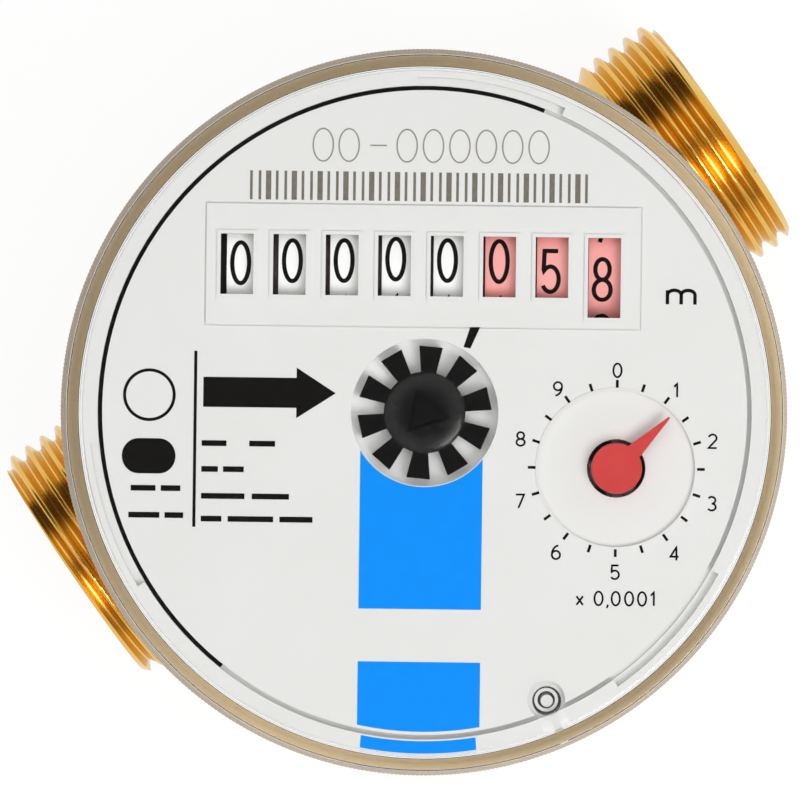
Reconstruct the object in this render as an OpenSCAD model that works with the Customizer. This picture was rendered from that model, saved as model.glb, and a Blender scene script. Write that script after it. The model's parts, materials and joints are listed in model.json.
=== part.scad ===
// Domestic single-jet water meter with a dry register that turns on its body.
// Millimetres. X runs along the pipe to the outlet, Z points up, and the origin is where the
// impeller axis meets the flat base.

/* [Pipe ends] */
// Impeller axis to the inlet end face
inlet_reach = 38.5; // [37:0.5:60]
// Impeller axis to the outlet end face
outlet_reach = 41.5; // [37:0.5:60]
// Outside diameter of the pipe thread
thread_d = 26.44; // [24:0.02:29]
// Length of the threaded end
thread_len = 8.3; // [7:0.1:11]
// Chamfer at the end of the thread
thread_chamfer = 0.8; // [0.4:0.1:1.2]
// Diameter of the neck behind the thread
neck_d = 22.6; // [20:0.2:23.6]
// Bore of each pipe end
port_d = 15; // [12:0.5:17]
// Depth of that straight bore
port_len = 10.5; // [8:0.5:12]
// Hole that throws the jet into the chamber
jet_d = 7; // [5:0.2:8]
// Hole that leads out of the chamber
drain_d = 8.4; // [6:0.2:10]
// Pipe axis sideways from the impeller axis
pipe_offset = 6.8; // [4:0.1:8.5]

/* [Body] */
// Flat base the meter stands on
base_d = 34; // [28:1:40]
// Thickness of the chamber floor
floor_t = 4.5; // [4:0.1:8]
// Inside diameter of the impeller chamber
chamber_d = 41; // [38:0.5:46]
// Height of the impeller chamber
chamber_h = 22; // [19:0.5:28]
// Wall of the chamber
body_wall = 3.5; // [2.5:0.1:5]
// Width of the ledge that carries the separator plate
ledge_w = 4.5; // [3.5:0.1:5]
// Height of the round flange that carries the register
flange_t = 3.1; // [2.6:0.1:5]
// Free height over the retaining ring, up to the flange face
seat_clear = 3; // [2.6:0.1:6]

/* [Separator] */
// Thickness of the separator plate
separator_t = 4; // [3.4:0.1:6]
// Thin web between the two magnets
web_t = 2; // [1.8:0.1:3]
// Thickness of the separator seal
seal_d = 1.9; // [1.4:0.1:2.2]
// Height of the retaining ring
retainer_t = 3; // [2:0.1:5]
// Radial width of the retaining ring
retainer_w = 5.8; // [3:0.1:8]
// Wall of the steel ring that shields the magnets
shield_t = 1; // [0.6:0.1:2]
// Height of the shield ring
shield_h = 4.6; // [3:0.1:5]

/* [Impeller] */
// Gap between vane tips and chamber wall
vane_gap = 0.9; // [0.5:0.1:2]
// Thickness of a vane
vane_t = 1.2; // [0.8:0.1:2]
// Height of a vane
vane_h = 13; // [9:0.5:14]
// Diameter of the impeller hub
hub_d = 9; // [7:0.2:12]
// Diameter of the impeller spindle
spindle_d = 1.8; // [1.2:0.1:2.6]
// Outside diameter of both magnets
magnet_d = 15; // [12:0.5:16]
// Bore of both magnets
magnet_bore = 6; // [4:0.2:7]
// Height of both magnets
magnet_h = 3.5; // [2:0.1:4]

/* [Register case] */
// Turn of the dial against the pipe
dial_turn = 35; // [0:1:90]
// Diameter of the dial plate
dial_d = 62.3; // [60:0.1:70]
// Thickness of the dial plate
dial_t = 1.2; // [1:0.1:2]
// Gap around the dial plate
dial_gap = 0.45; // [0.2:0.05:0.8]
// Wall of the register housing
housing_wall = 1.5; // [1.2:0.1:2.5]
// Floor of the register housing
housing_floor = 1.5; // [1.3:0.1:2.5]
// Wall of the clear cover
cover_wall = 1.1; // [0.8:0.1:2]
// Top of the clear cover
cover_top_t = 2.5; // [1.5:0.1:4]
// Rounding of the cover's top edge
cover_round = 1.4; // [0.8:0.1:2]
// Foot of the cover, how far it stands out
cover_foot = 1; // [0.6:0.1:2]
// Thickness of that foot
cover_foot_t = 1.6; // [1:0.1:2.5]
// Free height between dial and cover
head_room = 3.25; // [2.4:0.05:6]
// Wall of the lock ring
ring_wall = 0.55; // [0.4:0.05:1.5]
// Thickness of the lip on top of the lock ring
ring_lip_t = 1; // [0.6:0.1:2]
// How far that lip reaches over the cover's foot
ring_lip = 0.2; // [0.15:0.05:0.4]

/* [Dial] */
// Middle of the row of windows, across
row_x = -0.55; // [-1.5:0.05:0.5]
// Pitch of the counter windows
window_pitch = 5.07; // [4.8:0.01:5.2]
// Middle of the counter row, up the dial
row_y = 14.15; // [13.6:0.05:15]
// Width of a counter window
window_w = 3.17; // [2.6:0.01:3.4]
// Height of a counter window
window_h = 5.85; // [4.5:0.05:7]
// Height of the last counter window
last_window_h = 7.73; // [6:0.01:8.4]
// Width of the raised panel around the windows
panel_w = 41.9; // [40.4:0.1:46]
// Height of the raised panel
panel_h = 11.65; // [11:0.05:12]
// How far the panel stands up
panel_rise = 0.2; // [0.1:0.05:0.4]
// Width of the fine groove around the panel
panel_groove = 0.16; // [0.1:0.02:0.4]
// Depth of the pocket for the number wheels in the dial's underside
wheel_pocket = 0.6; // [0.3:0.05:0.7]
// Diameter of the well for the star wheel
well_d = 14.26; // [13.6:0.02:15]
// Depth of that well
well_depth = 2.4; // [2:0.1:2.8]
// Pointer axis, across
pointer_x = 18.58; // [17.5:0.02:19.5]
// Pointer axis, up the dial
pointer_y = -5.17; // [-6.5:0.01:-4.5]
// Shallow dish under the pointer
dish_d = 15.2; // [13:0.1:17]
// Depth of the dish
dish_depth = 0.4; // [0.2:0.05:0.6]
// Hole for the pointer hub
pointer_hole_d = 5.66; // [5.4:0.02:6.4]
// Distance of the locating peg from the dial centre
peg_reach = 30.1; // [28.5:0.1:30.4]
// Diameter of the locating peg
peg_d = 2.8; // [2:0.1:3]
// Gap around the locating peg
peg_gap = 0.43; // [0.2:0.01:0.6]

/* [Indicators] */
// Tip diameter of the star wheel
star_d = 12.8; // [11:0.1:13]
// Hub diameter of the star wheel
star_hub_d = 7.9; // [6:0.1:8.5]
// Thickness of the star wheel
star_t = 1.2; // [0.8:0.1:1.4]
// Width of a star tooth at its tip
star_tip_w = 2.3; // [1.8:0.1:2.5]
// Width of a star tooth at the hub
star_root_w = 1.5; // [1.2:0.1:1.8]
// Pointer axis to pointer tip
pointer_len = 7.1; // [6:0.1:7.4]
// Diameter of the pointer hub
pointer_hub_d = 4.9; // [4:0.1:5]
// Thickness of the pointer blade
pointer_t = 0.7; // [0.5:0.05:1]
// Direction the pointer rests in
pointer_turn = 44.7; // [0:0.1:359]

/* [Counter] */
// Pitch of the number wheels
wheel_pitch = 5; // [4.8:0.05:5.2]
// Diameter of a number wheel
wheel_d = 18; // [17.4:0.1:18.4]
// Width of a number wheel's rim
wheel_w = 3.6; // [3.3:0.05:3.8]
// Shaft through the number wheels
shaft_d = 2; // [1.4:0.1:2.6]
// Shaft through the transfer pinions
pinion_shaft_d = 1.2; // [0.8:0.1:1.4]
// Thickness of the counter frame's plates
frame_t = 0.9; // [0.7:0.1:1.2]

/* [Gear train] */
// Idler axis, across
idler_x = 6.64; // [6.2:0.02:7]
// Idler axis, up the dial
idler_y = -8.13; // [-8.8:0.01:-7.6]
// Diameter of the gear arbors
arbor_d = 1.2; // [0.8:0.1:1.4]
// Thickness of a gear
gear_t = 1; // [0.7:0.05:1.1]
// Thickness of the gear bridge
bridge_t = 1; // [0.8:0.1:1.1]
// Pitch radius of the worm
worm_r = 1.6; // [1.4:0.05:1.8]

/* [Clearances] */
// Radial play of shafts in their holes
run_gap = 0.05; // [0.03:0.01:0.09]
// Play between register and body
swivel_gap = 0.3; // [0.2:0.05:0.5]
// Play between the cover and the ring around it
ring_gap = 0.1; // [0.05:0.01:0.15]
// Gap between housing and cover
cover_gap = 0.25; // [0.15:0.05:0.5]
// Thinning of each small gear tooth
slack = 0.08; // [0.05:0.01:0.1]
// Thinning of each counter tooth
counter_slack = 0.12; // [0.08:0.01:0.2]

/* [Hidden] */
$fn = 96;
eps = 0.1;
pressure = 20;

// Heights of the body
thread_r = thread_d / 2;
neck_r = neck_d / 2;
chamber_r = chamber_d / 2;
pot_r = chamber_r + body_wall;
base_r = base_d / 2;
base_rise = 7;
axis_z = floor_t + chamber_h / 2;
ledge_z = floor_t + chamber_h;
separator_top = ledge_z + separator_t;
flange_top = separator_top + retainer_t + seat_clear;
flange_under = flange_top - flange_t;
flare_z = ledge_z - 9.5;
seat_r = chamber_r + ledge_w;
fit_gap = 0.1;

// Radii of the register, each worked out from the one inside it
dial_r = dial_d / 2;
housing_in_r = dial_r + dial_gap;
housing_r = housing_in_r + housing_wall;
cover_in_r = housing_r + cover_gap;
cover_r = cover_in_r + cover_wall;
foot_r = cover_r + cover_foot;
ring_in_r = foot_r + ring_gap;
ring_r = ring_in_r + ring_wall;
flange_r = foot_r;
flange_neck_r = flange_r - 2.4;
groove_depth = 0.5;
groove_z = flange_under + 0.8;
groove_h = 1.1;
bead_h = 0.9;
bead_rise = 0.35;
edge = 0.3;

// Heights of the register
case_z = flange_top + swivel_gap;
deck_z = case_z + housing_floor;
wheel_r = wheel_d / 2;
wheel_floor_gap = 2.5;
wheel_top_gap = 0.35;
row_z = deck_z + wheel_floor_gap + wheel_r;
dial_under = row_z + wheel_r + wheel_top_gap - wheel_pocket;
dial_top = dial_under + dial_t;
cover_under = dial_top + head_room;
cover_top = cover_under + cover_top_t;
well_floor = dial_top - well_depth;
well_wall = 0.9;
foot_top = case_z + cover_foot_t;
lip_under = foot_top + 0.2;
ring_top = lip_under + ring_lip_t;
ring_bottom = flange_under - 0.2;
rest_ledge = 3.4;
rest_ledge_t = 0.8;
rest_groove_w = 0.7;
rest_groove_depth = 2.4;
rest_groove_from = 69;
rest_groove_span = 163;
snap_angle = 78.9;
snap_width = 26;
snap_depth = 0.9;
snap_reach = 0.8;

// Magnets and bearings
bearing_d = 5;
bearing_seat = 2.5;
bearing_h = 3.7;
bearing_floor = 0.8;
guide_d = 4;
guide_h = 1.7;
guide_seat = web_t - 0.8;
magnet_top = ledge_z - 0.8;
vane_top = magnet_top - magnet_h;
vane_bottom = vane_top - vane_h;
hub_bottom = floor_t - bearing_seat + bearing_h + 0.5;
vane_count = 8;
shroud_t = 1;
pocket_r = magnet_d / 2 + 0.9;
tube_r = pocket_r + 1.2;
tube_z = ledge_z + web_t + 0.3;
tube_floor = 1;
follower_z = tube_z + tube_floor + 0.5;
carrier_t = 1.2;
strainer_d = port_d - 1;
strainer_t = 3;

// Counter row
wheels = 8;
reading = [0, 0, 0, 0, 0, 0, 5, 8];
transfer_teeth = 20;
pinion_teeth = 8;
transfer_r = wheel_r - 1.8;
transfer_m = 2 * transfer_r / transfer_teeth;
pinion_r = transfer_m * pinion_teeth / 2;
transfer_shift = 0.3;
pinion_tip_r = gear_tip(pinion_teeth, transfer_m, transfer_shift);
pinion_root_r = gear_root(pinion_teeth, transfer_m, transfer_shift);
pinion_reach = transfer_r + pinion_r;
pinion_dir = -45;
pinion_y = row_y + pinion_reach * cos(pinion_dir);
pinion_z = row_z + pinion_reach * sin(pinion_dir);
long_tooth = 180 / pinion_teeth * 2 - 4;
lock_r = norm([pinion_reach - pinion_tip_r * cos(long_tooth), pinion_tip_r * sin(long_tooth)]) - 0.2;
rim_in_r = lock_r - 0.6;
ring_hole_r = gear_root(transfer_teeth, transfer_m, -transfer_shift) - 0.8;
wheel_hub_r = shaft_d / 2 + 1.2;
wheel_web = 1.2;
hub_gap = 0.2;
tooth_end = wheel_pitch / 2 - 0.06;
pinion_play = 0.13;
carry_lead = 24;
frame_gap = 0.25;
row_left = wheel_x(1) - wheel_w / 2;
row_right = wheel_x(wheels) + wheel_w / 2;
pocket_margin = 0.4;
wheel_chord = sqrt(max(0, pow(wheel_r, 2) - pow(wheel_r + wheel_top_gap - wheel_pocket, 2)));
pocket_up = max(window_h / 2, wheel_chord) + pocket_margin;
pocket_down = max(last_window_h - window_h / 2, wheel_chord) + pocket_margin;
panel_x = row_x + 0.25;
frame_left = row_left - frame_gap - frame_t;
frame_right = row_right + frame_gap;
beam_y = 2.4;
beam_t = 1.5;
beam_z = deck_z + 7;
beam_h = 4;

// Gear train: teeth and places, with each module worked out from its centre distance
star_teeth = 10;
idler_teeth = 60;
idler_pinion_teeth = 10;
pointer_teeth = 72;
drive_teeth = 40;
worm_pinion_teeth = 20;
worm_wheel_teeth = 20;
small_shift = 0.3;
worm_m = 0.4;
worm_wheel_r = worm_m * worm_wheel_teeth / 2;
worm_pitch = PI * worm_m;
worm_tip_r = worm_r + 0.85 * worm_m;
worm_root_r = worm_r - 1.25 * worm_m;
worm_h = 4.4;
worm_slack = 0.2;
worm_wheel_t = 1.2;
idler_at = [idler_x, idler_y];
pointer_at = [pointer_x, pointer_y];
worm_at = [frame_right + frame_t + frame_gap + worm_tip_r, row_y - worm_wheel_r - worm_r];
idler_m = 2 * norm(idler_at) / (star_teeth + idler_teeth);
pointer_m = 2 * norm(pointer_at - idler_at) / (idler_pinion_teeth + pointer_teeth);
drive_m = 2 * norm(worm_at - pointer_at) / (drive_teeth + worm_pinion_teeth);
drive_z = deck_z + 0.3;
pointer_gear_z = deck_z + 2.4;
idler_z = deck_z + 4.6;
bridge_z = well_floor - well_wall - 0.4 - 0.9 - bridge_t;
pivot_depth = 0.8;
strap_w = 3;
bar_share = 0.8;
post_r = 1.6;
screw_r = 0.6;
screw_head_r = 1.2;
screw_head_h = 0.8;
screw_len = 5;
idler_tip = gear_tip(idler_teeth, idler_m, -small_shift);
pointer_tip = gear_tip(pointer_teeth, pointer_m, -small_shift);
post_at = [
    idler_at + (idler_tip + post_r + 0.6) * [cos(170), sin(170)],
    idler_at + (idler_tip + post_r + 0.6) * [cos(-100), sin(-100)],
    pointer_at + (pointer_tip + post_r + 0.6) * [cos(-75), sin(-75)]
];
star_z = well_floor + 0.6;
star_phase = 85;
blade_z = dial_top + 0.55;
peg_turn = -66.35;
body_outline = concat(
    [[0, 0], [base_r, 0]],
    [for (a = [-75:15:0]) [base_r + (pot_r - base_r) * cos(a), base_rise * (1 + sin(a))]],
    [for (t = [0:0.125:1]) [pot_r + (flange_neck_r - pot_r) * (1 - cos(90 * t)),
        flare_z + (flange_under - flare_z) * t]],
    [[flange_r, flange_under], [flange_r, groove_z], [flange_r - groove_depth, groove_z],
        [flange_r - groove_depth, groove_z + groove_h], [flange_r, groove_z + groove_h],
        [flange_r, flange_top - edge], [flange_r - edge, flange_top], [0, flange_top]]
);

// Middle of number wheel i and of its window along the counter row, counted from the left
function wheel_x(i) = (i - (wheels + 1) / 2) * wheel_pitch;
function window_x(i) = row_x + (i - (wheels + 1) / 2) * window_pitch;

// Involute gears: tip and root radius, half a tooth's angle at a radius, and the outline
function gear_tip(teeth, m, shift) = m * (teeth / 2 + 0.85 + shift);
function gear_root(teeth, m, shift) = m * (teeth / 2 - 1.25 + shift);
function involute(a) = tan(a) * 180 / PI - a;
function tooth_half(rho, teeth, m, shift, thin) =
    let (r = m * teeth / 2, base = r * cos(pressure), a = rho > base ? acos(base / rho) : 0)
    (90 + 2 * shift * tan(pressure) * 180 / PI) / teeth - thin / 2 / r * 180 / PI
    + involute(pressure) - involute(a);
function gear_points(teeth, m, shift, thin, phase, picked) =
    let (tip = gear_tip(teeth, m, shift), root = gear_root(teeth, m, shift),
        start = max(root + 0.02 * m, m * teeth / 2 * cos(pressure)))
    [for (i = picked) let (c = phase + 360 * i / teeth)
        each concat(
            [polar(root, c - tooth_half(start, teeth, m, shift, thin))],
            [for (k = [0:3]) let (rho = start + (tip - start) * k / 3)
                polar(rho, c - tooth_half(rho, teeth, m, shift, thin))],
            [for (k = [3:-1:0]) let (rho = start + (tip - start) * k / 3)
                polar(rho, c + tooth_half(rho, teeth, m, shift, thin))],
            [polar(root, c + tooth_half(start, teeth, m, shift, thin))])];
function polar(r, a) = [r * cos(a), r * sin(a)];
function all_teeth(teeth) = [for (i = [0:teeth - 1]) i];

// Turn of a gear that meshes with another, seen along the line from that one to this one
function mesh_turn(teeth, phase, other_teeth, dir) =
    dir + 180 - 180 / other_teeth + (dir - phase) * teeth / other_teeth;
function dir_to(from, to) = atan2(to[1] - from[1], to[0] - from[0]);

idler_turn = mesh_turn(star_teeth, 0, idler_teeth, dir_to([0, 0], idler_at));
pointer_gear_turn = mesh_turn(idler_pinion_teeth, 0, pointer_teeth, dir_to(idler_at, pointer_at));
worm_pinion_turn = mesh_turn(drive_teeth, 0, worm_pinion_teeth, dir_to(pointer_at, worm_at));

// Places pieces that are drawn in the dial's own frame, and pieces drawn around the counter row
module on_dial() rotate([0, 0, -dial_turn]) children();
module on_row(x) translate([x, row_y, row_z]) rotate([90, 0, 90]) children();
module at(p, z) translate([p[0], p[1], z]) children();

module disc(r, h) cylinder(r = r, h = h);
module ring(r_in, r_out, h) difference() {
    disc(r_out, h);
    translate([0, 0, -eps]) disc(r_in, h + 2 * eps);
}
module gear(teeth, m, shift, thin, phase, h)
    linear_extrude(h) polygon(gear_points(teeth, m, shift, thin, phase, all_teeth(teeth)));
module arbor_bore(z, h) translate([0, 0, z - eps]) disc(arbor_d / 2, h + 2 * eps);
module strap(p, q, w) {
    translate(p) rotate(dir_to(p, q)) translate([0, -w * bar_share / 2])
        square([norm(q - p), w * bar_share]);
    translate(p) circle(d = w);
    translate(q) circle(d = w);
}
module along_pipe(side) translate([0, pipe_offset, axis_z]) rotate([0, 90 * side, 0]) children();

// Cast body with its turned pipe ends, chamber and register flange
module pipe_end(side, reach) along_pipe(side) rotate_extrude() polygon([
    [0, 0], [neck_r, 0], [neck_r, reach - thread_len - (thread_r - neck_r)],
    [thread_r, reach - thread_len], [thread_r, reach - thread_chamfer],
    [thread_r - thread_chamfer, reach], [0, reach]
]);
module waterway(side, reach, hole_d) along_pipe(side) {
    translate([0, 0, reach - port_len]) cylinder(d = port_d, h = port_len + eps);
    translate([0, strainer_d / 2 - hole_d / 2 - 0.2, chamber_r / 2])
        cylinder(d = hole_d, h = reach - port_len - chamber_r / 2 + eps);
}
module strainer_seat() along_pipe(-1) translate([0, 0, inlet_reach - port_len - strainer_t])
    cylinder(d = strainer_d, h = strainer_t + eps);
module brass_body() color("goldenrod") difference() {
    union() {
        rotate_extrude() polygon(body_outline);
        pipe_end(1, outlet_reach);
        pipe_end(-1, inlet_reach);
    }
    translate([0, 0, floor_t]) disc(chamber_r, chamber_h + eps);
    translate([0, 0, ledge_z]) disc(seat_r, flange_top - ledge_z + eps);
    translate([0, 0, floor_t - bearing_seat]) cylinder(d = bearing_d, h = bearing_seat + eps);
    waterway(1, outlet_reach, drain_d);
    waterway(-1, inlet_reach, jet_d);
    strainer_seat();
}

// Slotted strainer pressed in behind the inlet bore
module inlet_strainer() color("ivory") along_pipe(-1)
    translate([0, 0, inlet_reach - port_len - strainer_t]) difference() {
        cylinder(d = strainer_d, h = strainer_t);
        translate([0, 0, 1]) cylinder(d = strainer_d - 1.6, h = strainer_t);
        for (i = [-2:2]) translate([-0.55 + i * 2.2, -(5.4 - abs(i)), -eps])
            cube([1.1, 2 * (5.4 - abs(i)), 1 + 2 * eps]);
    }

// Bearing bushes at both ends of the impeller spindle
module lower_bearing() color("silver") translate([0, 0, floor_t - bearing_seat]) difference() {
    cylinder(d = bearing_d, h = bearing_h);
    translate([0, 0, bearing_floor]) cylinder(r = spindle_d / 2 + run_gap, h = bearing_h);
}
module upper_bearing() color("silver") translate([0, 0, ledge_z + guide_seat - guide_h]) difference() {
    cylinder(d = guide_d, h = guide_h);
    translate([0, 0, -eps]) cylinder(r = spindle_d / 2 + run_gap, h = guide_h - 0.3 + eps);
}

// Plate that closes the wet chamber, with its seal, the ring that holds it and the magnet shield
module separator_plate() color("dimgray") difference() {
    rotate_extrude() polygon([
        [0, ledge_z], [seat_r - fit_gap, ledge_z],
        [seat_r - fit_gap, ledge_z + separator_t / 2 - seal_d / 2 - fit_gap],
        [seat_r - seal_d, ledge_z + separator_t / 2 - seal_d / 2 - fit_gap],
        [seat_r - seal_d, ledge_z + separator_t / 2 + seal_d / 2 + fit_gap],
        [seat_r - fit_gap, ledge_z + separator_t / 2 + seal_d / 2 + fit_gap],
        [seat_r - fit_gap, separator_top], [tube_r + 0.5, separator_top],
        [tube_r + 0.5, ledge_z + web_t], [0, ledge_z + web_t]
    ]);
    translate([0, 0, ledge_z - eps]) cylinder(d = guide_d, h = guide_seat + eps);
}
module separator_seal() color("black") translate([0, 0, ledge_z + separator_t / 2])
    rotate_extrude() translate([seat_r - seal_d / 2, 0]) circle(d = seal_d);
module retaining_ring() color("peru") translate([0, 0, separator_top]) difference() {
    ring(seat_r - fit_gap - retainer_w, seat_r - fit_gap, retainer_t);
    for (a = [0:90:270]) rotate(a) translate([seat_r - fit_gap - retainer_w - eps, -1.5, retainer_t / 2])
        cube([retainer_w / 2 + eps, 3, retainer_t]);
}
module magnet_shield() color("lightsteelblue") translate([0, 0, separator_top])
    ring(tube_r + 1, tube_r + 1 + shield_t, shield_h);

// Snap ring around the body flange and the cover's foot
module lock_ring() color("tan") rotate_extrude() polygon([
    [ring_in_r, ring_bottom], [ring_r - edge, ring_bottom], [ring_r, ring_bottom + edge],
    [ring_r, ring_top - edge], [ring_r - edge, ring_top], [foot_r - ring_lip, ring_top],
    [foot_r - ring_lip, lip_under], [ring_in_r, lip_under],
    [ring_in_r, groove_z + groove_h], [flange_r - bead_rise, groove_z + groove_h],
    [flange_r - bead_rise, groove_z + groove_h - bead_h / 2], [ring_in_r, groove_z + groove_h - bead_h]
]);

// Impeller with its spindle and drive magnet
module impeller() color("white") difference() {
    union() {
        translate([0, 0, hub_bottom]) cylinder(d = hub_d, h = vane_top - shroud_t / 2 - hub_bottom);
        translate([0, 0, vane_top - shroud_t]) cylinder(d = magnet_d + 4, h = shroud_t);
        translate([0, 0, vane_top - shroud_t / 2]) cylinder(d = magnet_bore, h = magnet_h + shroud_t / 2);
        for (i = [0:vane_count - 1]) rotate(360 * (i + 0.5) / vane_count)
            translate([hub_d / 2 - vane_t, -vane_t / 2, vane_bottom])
                cube([chamber_r - vane_gap - hub_d / 2 + vane_t, vane_t, vane_h - shroud_t / 2]);
    }
    translate([0, 0, hub_bottom - eps]) cylinder(d = spindle_d, h = magnet_top - hub_bottom + 2 * eps);
}
module impeller_spindle() color("gainsboro") translate([0, 0, floor_t - bearing_seat + bearing_floor + 0.1])
    cylinder(d = spindle_d, h = ledge_z + guide_seat - 0.5
        - (floor_t - bearing_seat + bearing_floor + 0.1));
module impeller_magnet() color("darkslategray") translate([0, 0, vane_top])
    ring(magnet_bore / 2, magnet_d / 2, magnet_h);

// Moulded cup that carries the counter, with the tube that reaches down between the magnets
module register_housing() color("whitesmoke") on_dial() difference() {
    union() {
        rotate_extrude() polygon([
            [0, tube_z], [tube_r, tube_z], [tube_r, case_z], [housing_r, case_z],
            [housing_r, dial_top], [housing_in_r, dial_top], [housing_in_r, dial_under],
            [housing_in_r - rest_ledge, dial_under],
            [housing_in_r - rest_ledge, dial_under - rest_ledge_t],
            [housing_in_r, dial_under - rest_ledge_t - rest_ledge], [housing_in_r, deck_z],
            [pocket_r, deck_z], [pocket_r, tube_z + tube_floor], [0, tube_z + tube_floor]
        ]);
        for (p = post_at) at(p, deck_z - eps) disc(post_r, bridge_z - deck_z + eps);
    }
    for (a = [0:120:240]) rotate(snap_angle - snap_width / 2 + a)
        translate([0, 0, dial_top - snap_depth]) rotate_extrude(angle = snap_width)
            translate([housing_in_r - eps, 0]) square([snap_reach + eps, snap_depth + eps]);
    rotate(rest_groove_from) translate([0, 0, dial_under - rest_groove_depth])
        rotate_extrude(angle = rest_groove_span)
            translate([housing_in_r - rest_groove_w, 0])
                square([rest_groove_w + eps, rest_groove_depth + eps]);
    for (p = [idler_at, pointer_at, worm_at]) at(p, deck_z - pivot_depth)
        disc(arbor_d / 2 + run_gap, pivot_depth + eps);
    translate([0, 0, tube_z + tube_floor / 2]) disc(arbor_d / 2 + run_gap, tube_floor);
    for (p = post_at) at(p, bridge_z - screw_len) disc(screw_r, screw_len + eps);
}

// Frame that carries the counter shaft and the transfer pinions
module frame_plate(x) translate([x, 0, 0]) rotate([90, 0, 90]) linear_extrude(frame_t) polygon([
    [beam_y, deck_z], [pinion_y + 1.6, deck_z], [pinion_y + 1.6, pinion_z + 1],
    [row_y + 2.6, row_z + 2.6], [row_y - 2.6, row_z + 2.6], [beam_y, beam_z + beam_h]
]);
module counter_frame() color("lightgray") on_dial() difference() {
    intersection() {
        union() {
            frame_plate(frame_left);
            frame_plate(frame_right);
            translate([frame_left, beam_y, beam_z])
                cube([frame_right + frame_t - frame_left, beam_t, beam_h]);
        }
        disc(housing_in_r - 0.3, cover_top);
    }
    translate([frame_right - eps, 0, deck_z - eps]) cube([frame_t + 2 * eps,
        worm_at[1] + gear_tip(worm_pinion_teeth, drive_m, 0) + 0.4,
        pointer_gear_z + gear_t + 0.6 - deck_z + eps]);
    translate([frame_left - eps, row_y, row_z]) rotate([0, 90, 0])
        disc(shaft_d / 2 + run_gap, frame_right + frame_t - frame_left + 2 * eps);
    translate([frame_left - eps, pinion_y, pinion_z]) rotate([0, 90, 0])
        disc(pinion_shaft_d / 2, frame_right + frame_t - frame_left + 2 * eps);
}
module pinion_shaft() color("silver") on_dial() translate([frame_left, pinion_y, pinion_z])
    rotate([0, 90, 0]) cylinder(d = pinion_shaft_d, h = frame_right + frame_t - frame_left);

// Bridge over the gears and the three screws that hold it
module gear_bridge() color("gainsboro") on_dial() translate([0, 0, bridge_z]) linear_extrude(bridge_t)
    difference() {
        union() {
            strap([0, 0], idler_at, strap_w);
            strap(idler_at, pointer_at, strap_w);
            strap(pointer_at, worm_at, strap_w);
            strap([0, 0], post_at[0], strap_w + 0.6);
            strap(idler_at, post_at[1], strap_w + 0.6);
            strap(pointer_at, post_at[2], strap_w + 0.6);
        }
        for (p = [[0, 0], idler_at, pointer_at, worm_at]) translate(p) circle(r = arbor_d / 2 + run_gap);
        for (p = post_at) translate(p) circle(r = screw_r + run_gap);
    }
module bridge_screws() color("silver") on_dial() for (p = post_at) {
    at(p, bridge_z + bridge_t) disc(screw_head_r, screw_head_h);
    at(p, bridge_z - screw_len + 0.5) disc(screw_r, screw_len + bridge_t - 0.5);
}

// Dial plate with the counter windows, the well for the star wheel and the pointer dish
function window_size(i) = i == wheels ? last_window_h : window_h;
module window(i, grow, z, h) translate([window_x(i) - window_w / 2 - grow,
    row_y + window_h / 2 - window_size(i) - grow, z])
    cube([window_w + 2 * grow, window_size(i) + 2 * grow, h]);
module peg_place() rotate(peg_turn) translate([peg_reach, 0, 0]) children();
module panel(grow, z, h) translate([panel_x - panel_w / 2 - grow, row_y - panel_h / 2 - grow, z])
    cube([panel_w + 2 * grow, panel_h + 2 * grow, h]);
module dial_plate() color("white") on_dial() difference() {
    union() {
        translate([0, 0, dial_under]) disc(dial_r, dial_t);
        panel(0, dial_top - eps, panel_rise + eps);
        for (i = [1:wheels]) window(i, 0.35, dial_top, 2 * panel_rise);
        translate([0, 0, well_floor - well_wall])
            disc(well_d / 2 + well_wall, well_depth + well_wall - eps);
        at(pointer_at, dial_top - eps) disc(dish_d / 2 + 0.2, eps + 0.12);
    }
    for (i = [1:wheels]) window(i, 0, dial_under - eps, dial_t + 3 * panel_rise);
    difference() {
        panel(panel_groove, dial_top - panel_groove, 2 * panel_groove);
        panel(0, dial_top - 2 * panel_groove, 4 * panel_groove);
    }
    translate([row_left - frame_gap, row_y - pocket_down, dial_under - eps])
        cube([row_right - row_left + 2 * frame_gap, pocket_up + pocket_down, wheel_pocket + eps]);
    translate([0, 0, well_floor]) disc(well_d / 2, well_depth + panel_rise);
    translate([0, 0, well_floor - well_wall - eps]) disc(arbor_d / 2 + 0.4, well_wall + 2 * eps);
    at(pointer_at, dial_top - dish_depth) disc(dish_d / 2, dish_depth + 1);
    at(pointer_at, dial_under - eps) cylinder(d = pointer_hole_d, h = dial_t + 2 * eps);
    peg_place() translate([0, 0, dial_under - eps]) cylinder(r = peg_d / 2 + peg_gap, h = dial_t + 2 * eps);
}

// Clear cover with the peg that keeps the dial from turning
module clear_cover() color("lightcyan", 0.4) on_dial() {
    rotate_extrude() polygon(concat(
        [[cover_in_r, case_z], [foot_r, case_z], [foot_r, foot_top], [cover_r, foot_top]],
        [for (a = [0:15:90]) [cover_r, cover_top] + cover_round * [cos(a) - 1, sin(a) - 1]],
        [[0, cover_top], [0, cover_under]],
        [for (a = [90:-30:0]) [cover_in_r, cover_under] + cover_round / 2 * [cos(a) - 1, sin(a) - 1]]
    ));
    peg_place() difference() {
        union() {
            translate([0, 0, dial_under + 0.15]) cylinder(d = peg_d, h = cover_under - dial_under);
            translate([0, -0.4, dial_top + 0.4]) cube([cover_in_r + cover_wall / 2 - peg_reach, 0.8,
                cover_under - dial_top]);
        }
        translate([0, 0, dial_under]) cylinder(d = peg_d * 0.42, h = cover_under - dial_under);
    }
}

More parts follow.
